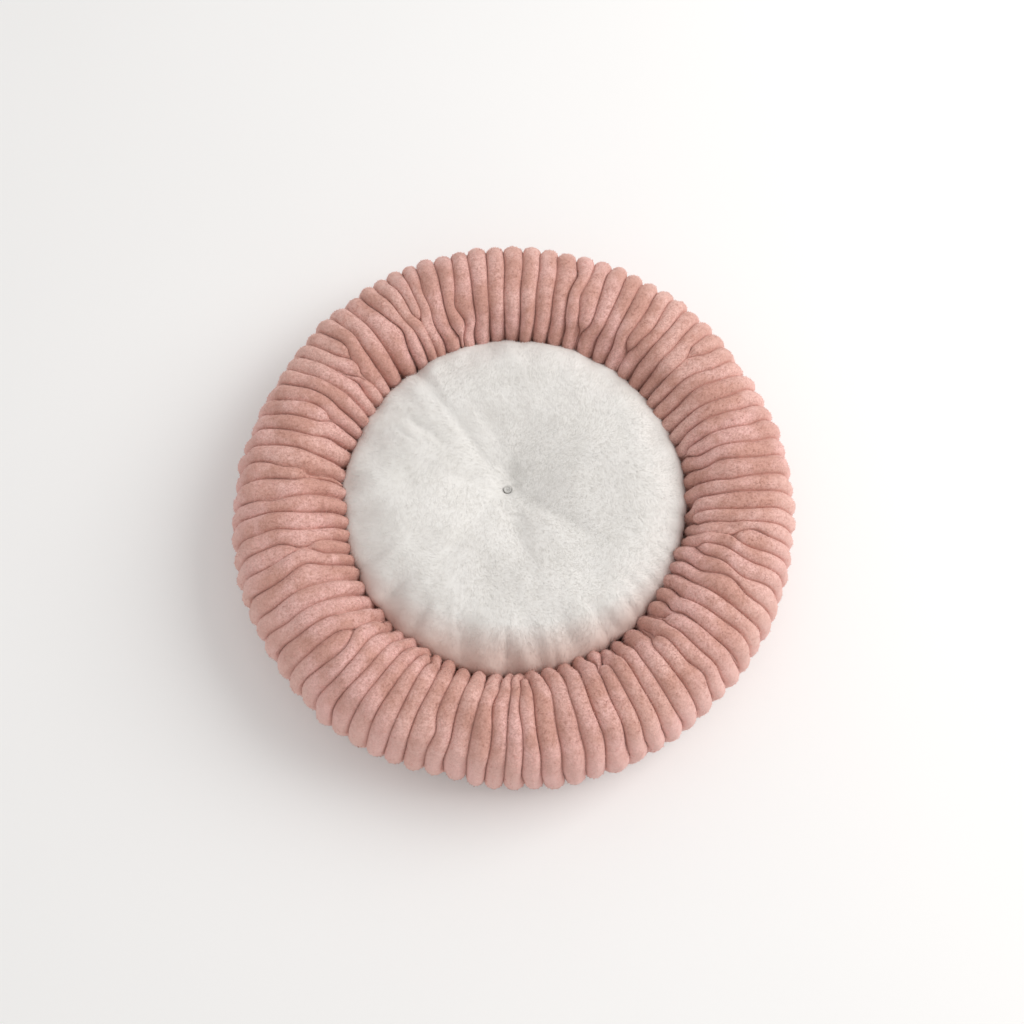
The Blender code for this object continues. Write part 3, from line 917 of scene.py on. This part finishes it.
def make_coil(name, side, finish):
    """One side of the zip: a nylon coil that winds along the seam."""
    turns = int((COIL_END - COIL_START) * SEAM_RADIUS / COIL_PITCH)
    steps = turns * 9
    turn = np.linspace(0, turns, steps) * FULL_TURN + (math.pi if side < 0 else 0)
    along = side * COIL_MIDDLE + COIL_HALF_WIDTH * np.cos(turn)
    path = seam_spot(np.linspace(COIL_START, COIL_END, steps), along, COIL_HALF_HEIGHT * np.sin(turn))
    ahead = np.gradient(path, axis=0)
    ahead /= np.linalg.norm(ahead, axis=1, keepdims=True)
    first = np.cross(ahead, [0, 0, 1.0])
    first /= np.linalg.norm(first, axis=1, keepdims=True)
    second = np.cross(ahead, first)
    corners = (np.arange(6) * math.pi / 3)[None, :, None]
    round_it = first[:, None] * np.cos(corners) + second[:, None] * np.sin(corners)
    return face_outwards(grid(name, path[:, None] + COIL_THREAD * round_it, finish))


def make_tape(name, side, finish):
    """The woven tape that a coil is sewn to."""
    near, far = side * TAPE_NEAR, side * TAPE_FAR
    middle = ((near + far) / 2, TAPE_TOP + 0.00005)
    outline = [(near, TAPE_TOP), middle, (far, TAPE_TOP), (far, TAPE_BOTTOM), (near, TAPE_BOTTOM)]
    return seam_strip(name, outline, COIL_START, COIL_END, 240, finish)


# ---------------------------------------------------------------- the cushion
SPOKES = 300
PRESSURE = 3.0
CLOTH_FRAMES = 20
PUFF_LIMIT = 0.003  # the furthest the pressure may carry the cloth
BUTTON_SINK = -0.0015  # how far the fur rises over the button's seat
FUR_DEPTH, SUEDE_DEPTH, FILLING_DEPTH = 0.0035, 0.0016, 0.0065
HAIRS = 60000
HAIR_LENGTH = 0.0055
HAIR_WIDTH = 0.00030
HAIR_RISE = 0.28
FUR_THINS = (0.165, 0.178)  # the radii between which the hairs thin out, towards the rim
CORD_RADIUS, CORD_TWIST = 0.0007, 0.0006

# The cushion's rim, where the ring squeezes it, from its seam up to its crown, as (radius, height)
SIDE_RIM = (
    (0.1745, 0.0540), (0.1775, 0.0600), (0.1805, 0.0670), (0.1820, 0.0745), (0.1800, 0.0812),
    (0.1745, 0.0868), (0.1655, 0.0910), (0.1505, 0.0943), (0.1300, 0.0962), (0.1030, 0.0969),
    (0.0700, 0.0965), (0.0350, 0.0960),
)
# The same at the front, where the ring slumps away from it
FRONT_RIM = (
    (0.1745, 0.0540), (0.1840, 0.0580), (0.1935, 0.0628), (0.1974, 0.0680), (0.1950, 0.0740),
    (0.1892, 0.0808), (0.1798, 0.0875), (0.1655, 0.0936), (0.1450, 0.0970), (0.1110, 0.0975),
    (0.0700, 0.0965), (0.0350, 0.0960),
)
FRONT = (266, 56)  # the front's middle, and how far round it reaches, in degrees

# Creases that run out from the tuft: (azimuth, from, to, depth, width), in degrees and metres
CREASES = (
    (128, 0.030, 0.150, 0.0030, 0.0090), (104, 0.012, 0.080, 0.0036, 0.0130),
    (78, 0.010, 0.060, 0.0030, 0.0120), (18, 0.015, 0.110, 0.0024, 0.0120),
    (-35, 0.020, 0.120, 0.0026, 0.0100), (-80, 0.020, 0.100, 0.0030, 0.0130),
    (-128, 0.020, 0.120, 0.0024, 0.0120), (172, 0.020, 0.110, 0.0026, 0.0120),
    (146, 0.090, 0.150, 0.0026, 0.0060),
)
# Puckers in the rim: (azimuth, width, depth), in degrees and metres
PUCKERS = (
    (20, 4.0, 0.0020), (60, 4.0, 0.0020), (88, 3.0, 0.0025), (128, 3.0, 0.0040), (160, 4.0, 0.0025),
    (190, 4.0, 0.0025), (206, 3.0, 0.0025), (208, 1.5, 0.0030), (222, 1.5, 0.0030), (226, 4.0, 0.0020),
    (236, 1.4, 0.0025), (247, 4.0, 0.0016), (267, 1.5, 0.0050), (270, 2.4, 0.0035), (278, 3.0, 0.0030),
    (283, 1.4, 0.0030), (288, 2.6, 0.0022), (301, 1.4, 0.0050), (304, 2.2, 0.0035), (313, 1.5, 0.0035),
    (318, 3.0, 0.0035), (325, 1.4, 0.0030), (337, 1.4, 0.0025), (345, 3.5, 0.0025), (351, 1.6, 0.0020),
)


def through(values, steps):
    """A smooth run of numbers through the given ones, ends included (Catmull-Rom)."""
    values = np.concatenate([[2 * values[0] - values[1]], values, [2 * values[-1] - values[-2]]])
    place = np.linspace(0, len(values) - 3, steps)
    first = np.minimum(place.astype(int), len(values) - 4)
    t = place - first
    a, b, c, d = (values[first + k] for k in range(4))
    return b + 0.5 * t * (c - a + t * (2 * a - 5 * b + 4 * c - d + t * (3 * (b - c) + d - a)))


def top_profile(rim):
    """The cushion's top from its button out to its seam, as columns of radii and heights."""
    radius, height = (through(np.array(values[::-1]), 40) for values in zip(*rim))
    inner = np.linspace(BUTTON_RADIUS, rim[-1][0], 12, endpoint=False)
    radius = np.concatenate([inner, radius])
    height = np.concatenate([np.full(len(inner), rim[-1][1]), height])
    return radius[:, None], height[:, None]


def cushion_grid():
    """A closed cushion as rings from the top tuft, over the edge, to the tuft below."""
    azimuth = np.linspace(0, FULL_TURN, SPOKES, endpoint=False)
    front = hump(turn_difference(np.degrees(azimuth), FRONT[0]), 0, FRONT[1])
    radius, height = (
        side + (ahead - side) * front for side, ahead in zip(top_profile(SIDE_RIM), top_profile(FRONT_RIM))
    )
    top = polar(radius, azimuth, height)
    shares = np.sin(np.linspace(1, 0.02, 40)[1:] * math.pi / 2)[:, None]
    fall = (CUSHION_SEAM - CUSHION_BOTTOM) * np.sqrt(1 - shares**5)
    under = polar(CUSHION_RADIUS * shares, azimuth, CUSHION_SEAM - fall)
    points = np.concatenate([top, under])
    reach = np.hypot(points[..., 0], points[..., 1]) / CUSHION_RADIUS
    points[..., :2] += np.clip(1 - reach**2, 0, 1)[..., None] * np.array(TUFT[:2])
    return points, len(top)


def puff(points):
    """Blows the cushion up as cloth, held at its two tufts."""
    start = grid("cushion_cloth", points, bpy.data.materials.new("unused"))
    face_outwards(start)
    held = start.vertex_groups.new(name="held")
    rows, columns, _ = points.shape
    ids = np.arange(rows * columns).reshape(rows, columns)
    held.add(ids[:2].ravel().tolist() + ids[-2:].ravel().tolist(), 1.0, "REPLACE")
    cloth = start.modifiers.new("Cloth", "CLOTH")
    cloth.settings.use_pressure = True
    cloth.settings.uniform_pressure_force = PRESSURE
    cloth.settings.vertex_group_mass = "held"
    cloth.settings.tension_stiffness = 12
    cloth.settings.compression_stiffness = 12
    cloth.settings.bending_stiffness = 0.4
    cloth.settings.quality = 6
    cloth.settings.effector_weights.gravity = 0
    scene = bpy.context.scene
    for step in range(1, CLOTH_FRAMES + 1):
        scene.frame_set(step)
    shape = start.evaluated_get(bpy.context.evaluated_depsgraph_get())
    moved = np.zeros(rows * columns * 3, np.float32)
    shape.data.vertices.foreach_get("co", moved)
    scene.frame_set(1)
    mesh = start.data
    bpy.data.objects.remove(start)
    bpy.data.meshes.remove(mesh)
    step = moved.reshape(points.shape) - points
    length = np.linalg.norm(step, axis=-1, keepdims=True)
    return points + step * PUFF_LIMIT / (PUFF_LIMIT + length)


def pull_tufts(points, upper, from_tuft):
    """Draws the cushion in at its two buttons."""
    over = CUSHION_CROWN - TUFT_TOP - BUTTON_SINK
    under = TUFT_BOTTOM - CUSHION_BOTTOM
    points[..., 2] -= np.where(upper, over * np.exp(-((from_tuft / 0.042) ** 1.4)), 0)
    points[..., 2] += np.where(upper, 0, under * np.exp(-((from_tuft / 0.026) ** 1.5)))


def crease(points, upper, from_tuft):
    """Folds the top along the creases that run out from its tuft."""
    azimuth = np.degrees(np.arctan2(points[..., 1] - TUFT.y, points[..., 0] - TUFT.x))
    for place, near, far, depth, width in CREASES:
        aside = np.radians(turn_difference(azimuth, place)) * from_tuft
        begun = smooth(near - 0.015, near + 0.015, from_tuft)
        ended = smooth(far - 0.03, far + 0.01, from_tuft)
        points[..., 2] -= np.where(upper, depth * hump(aside, 0, width) * begun * (1 - ended), 0)


def pucker(points, upper):
    """Puckers the top's rim and makes it uneven, and leaves its seam as it is."""
    around = np.degrees(np.arctan2(points[..., 1], points[..., 0]))
    reach = np.hypot(points[..., 0], points[..., 1])
    off_seam = smooth(CUSHION_SEAM, CUSHION_SEAM + 0.020, points[..., 2]) * upper
    sink = bumps_round(around, PUCKERS) * smooth(0.135, 0.178, reach) * off_seam
    points[..., 2] -= sink
    points[..., :2] *= 1 - (0.5 * sink / CUSHION_RADIUS)[..., None]
    spots = polar(1.0, np.radians(around), points[..., 2] * 8)
    points[..., 2] += 0.0014 * lumps(spots, 0.11, 22) * smooth(0.125, 0.172, reach) * off_seam


def cushion_points():
    """The puffed cushion, with its creases and puckers, and how many of its rows are its top."""
    points, top_rows = cushion_grid()
    upper = np.arange(len(points))[:, None] < top_rows
    from_tuft = np.hypot(points[..., 0] - TUFT.x, points[..., 1] - TUFT.y)
    pull_tufts(points, upper, from_tuft)
    points = puff(points)
    crease(points, upper, from_tuft)
    pucker(points, upper)
    return points, top_rows


def make_cushion(fur, suede, fibre):
    """The cushion's fur top, its underside and its filling, all from one puffed shape."""
    points, top_rows = cushion_points()
    upper = np.arange(len(points))[:, None] < top_rows - 4
    outward = grid_normals(points)
    outward *= np.sign(outward[2, 0, 2])
    stuffing = (points - outward * FILLING_DEPTH)[2:-2:2, ::2]
    points[..., 2] += upper * (0.0011 * lumps(points, 0.030, 23) + 0.0003 * lumps(points, 0.008, 24))
    seam_row = top_rows - 1
    top_face, under_face = points[:top_rows], points[seam_row:]
    top_back = (top_face - outward[:top_rows] * FUR_DEPTH)[::-1]
    under_back = (under_face - outward[seam_row:] * SUEDE_DEPTH)[::-1]
    top = grid("cushion_fur", np.concatenate([top_face, top_back]), fur, wrap_rows=True)
    under = grid("cushion_suede", np.concatenate([under_face, under_back]), suede, wrap_rows=True)
    filling = grid("cushion_stuffing", stuffing, fibre)
    for piece in (top, under, filling):
        face_outwards(piece)
    thinner = 1 - 0.6 * smooth(*FUR_THINS, np.hypot(top_face[..., 0], top_face[..., 1]))
    size = (HAIR_LENGTH, HAIR_WIDTH, HAIR_RISE)
    pile = make_pile("cushion_pile", top_face, outward[:top_rows], fur, HAIRS, size, fur_flow, thinner)
    return top, under, filling, pile


def make_button(name, height, face, finish):
    """A small round button with a raised rim, a dish and a small hole through its middle."""
    profile = (
        (0.07, 0.00150), (0.52, 0.00150), (0.63, 0.00165), (0.74, 0.00215), (0.85, 0.00240),
        (0.96, 0.00215), (1.00, 0.00160), (0.96, 0.00080), (0.80, 0.00020), (0.50, 0.0),
        (0.07, 0.0),
    )
    azimuth = np.linspace(0, FULL_TURN, 40, endpoint=False)[None, :]
    share, rise = np.array(profile).T[:, :, None]
    button = grid(name, polar(BUTTON_RADIUS * share, azimuth, face * rise), finish, wrap_rows=True)
    button.location = (TUFT.x, TUFT.y, height)
    face_outwards(button)
    finer = button.modifiers.new("Finer", "SUBSURF")
    finer.levels = finer.render_levels = 1
    return button


def make_thread(name, path, radius, finish):
    """A round thread through the points, as a curve with filled ends."""
    data = bpy.data.curves.new(name, "CURVE")
    data.dimensions = "3D"
    data.bevel_depth = radius
    data.bevel_resolution = 3
    data.use_fill_caps = True
    spline = data.splines.new("POLY")
    spline.points.add(len(path) - 1)
    for point, place in zip(spline.points, path):
        point.co = (*place, 1.0)
    made = bpy.data.objects.new(name, data)
    bpy.context.scene.collection.objects.link(made)
    data.materials.append(finish)
    return made


def make_tuft_cord(finish):
    """The waxed cord through the cushion, twisted, from one button to the other."""
    low, high = TUFT_BOTTOM - 0.0017, TUFT_TOP + 0.0017
    share = np.linspace(0, 1, 49)
    turn = math.pi / 2 - share * 3 * FULL_TURN
    path = polar(CORD_TWIST, turn, low + (high - low) * share) + (TUFT.x, TUFT.y, 0)
    return make_thread("cord_through_cushion", path.tolist(), CORD_RADIUS, finish)


# ---------------------------------------------------------------- camera, light and floor
CAMERA_DISTANCE = 1.15
CAMERA_ELEVATION = math.radians(71)
LENS = 35.7
AIM = Vector((-0.0032, 0.0047, 0.0))


def make_camera():
    data = bpy.data.cameras.new("camera")
    data.lens = LENS
    camera = bpy.data.objects.new("camera", data)
    away = Vector((0, -math.cos(CAMERA_ELEVATION), math.sin(CAMERA_ELEVATION)))
    camera.location = AIM + away * CAMERA_DISTANCE
    camera.rotation_euler = (-away).to_track_quat("-Z", "Y").to_euler()
    bpy.context.scene.collection.objects.link(camera)
    bpy.context.scene.camera = camera


def area_light(name, place, size, power, colour):
    data = bpy.data.lights.new(name, "AREA")
    data.size = size
    data.energy = power
    data.color = colour
    light = bpy.data.objects.new(name, data)
    light.location = place
    light.rotation_euler = (-Vector(place)).to_track_quat("-Z", "Y").to_euler()
    bpy.context.scene.collection.objects.link(light)


def make_studio():
    world = bpy.data.worlds.new("studio")
    bpy.context.scene.world = world
    world.use_nodes = True
    background = world.node_tree.nodes["Background"]
    background.inputs["Color"].default_value = (1.0, 0.985, 0.97, 1.0)
    background.inputs["Strength"].default_value = 0.66
    area_light("key", (2.4, 0.64, 2.16), 2.2, 65, (1.0, 0.985, 0.965))
    bpy.context.scene.view_settings.view_transform = "Standard"
    made, tree, shader = new_material("floor_paper")
    colour = mix(tree, noise(tree, 3), (0.93, 0.93, 0.93), (0.95, 0.95, 0.95))
    set_inputs(tree, shader, {
        "Base Color": colour,
        "Roughness": 0.9,
    })
    mesh = bpy.data.meshes.new("floor")
    half = 6.0
    corners = [(-half, -half, 0), (half, -half, 0), (half, half, 0), (-half, half, 0)]
    mesh.from_pydata(corners, [], [(0, 1, 2, 3)])
    new_object("floor", mesh, made, smooth_shading=False)


def place(piece, body, slot, *nodes):
    """Lets a piece ride on its body, in place of the CAD nodes it stands for, which it hides; slot is not
    used.
    """
    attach(piece, body)
    if nodes:
        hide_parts(*nodes)
    return piece


def make_ring():
    ring, pile = make_ring_cover(plush_material())
    place(ring, "bed", "ribbed_plush", "bolster_cover")
    place(pile, "bed", "ribbed_plush")
    place(make_ring_bag(nonwoven_material()), "bed", "nonwoven", "bolster_liner")
    stuffing = place(make_ring_stuffing(fibre_material("ring_fibre")), "bed", "fibrefill", "bolster_fill")


def make_base():
    cloth = place(make_base_cloth(oxford_material()), "bed", "oxford_cloth", "base_panel")
    place(make_grip_dots(dot_material()), "bed", "oxford_cloth")
    low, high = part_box("base_wadding")
    pad = make_disc("hole_pad", high.x, low.z, high.z, fibre_material("pad_fibre"), 0.0008, 51)
    place(pad, "bed", "fibrefill", "base_wadding")
    low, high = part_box("floor_lining")
    reach = high.x + LINING_TUCK
    lining = make_disc("hole_cloth", reach, low.z, high.z, lining_material(), 0.0005, 52)
    place(lining, "bed", "lining", "floor_lining")
    brown = tape_material("binding_tape", (0.50, 0.27, 0.23))
    tape = seam_strip("seam_tape", TAPE_SECTION, TAPE_START, TAPE_END, 400, brown)
    place(tape, "bed", "binding_tape", "seam_binding")
    thread = thread_material("sewing_thread", (0.62, 0.36, 0.31))
    place(make_stitches(thread), "bed", "binding_tape")
    label = place(make_label(satin_material()), "bed", "satin_label", "care_label")


def make_zip():
    nylon = nylon_material()
    tape = tape_material("zip_tape", (0.55, 0.31, 0.27))
    for name, side in (("upper", 1), ("lower", -1)):
        place(make_coil("coil_" + name, side, nylon), "bed", "zip_coil", "zip_coil_" + name)
        place(make_tape("tape_" + name, side, tape), "bed", "binding_tape", "zip_tape_" + name)
    metal = metal_material()
    for node in ("zip_stop_open", "zip_stop_closed", "zip_slider", "zip_pull"):
        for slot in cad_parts[node].material_slots:
            slot.material = metal


def make_pad():
    suede, fibre = suede_material(), fibre_material("pad_stuffing")
    top, under, filling, pile = make_cushion(fur_material(), suede, fibre)
    place(pile, "cushion", "white_fur")
    place(top, "cushion", "white_fur", "cushion_top")
    place(under, "cushion", "suede", "cushion_bottom")
    place(filling, "cushion", "fibrefill", "cushion_fill")
    resin = resin_material()
    for name, node, height, face in (
        ("button_top", "tuft_button_top", TUFT_TOP, 1),
        ("button_under", "tuft_button_bottom", TUFT_BOTTOM, -1),
    ):
        place(make_button(name, height, face, resin), "cushion", "button_resin", node)
    thread = thread_material("waxed_thread", (0.74, 0.73, 0.70))
    place(make_tuft_cord(thread), "cushion", "tuft_cord", "tuft_cord")


def main():
    make_camera()
    make_studio()
    make_ring()
    make_base()
    make_zip()
    make_pad()


main()
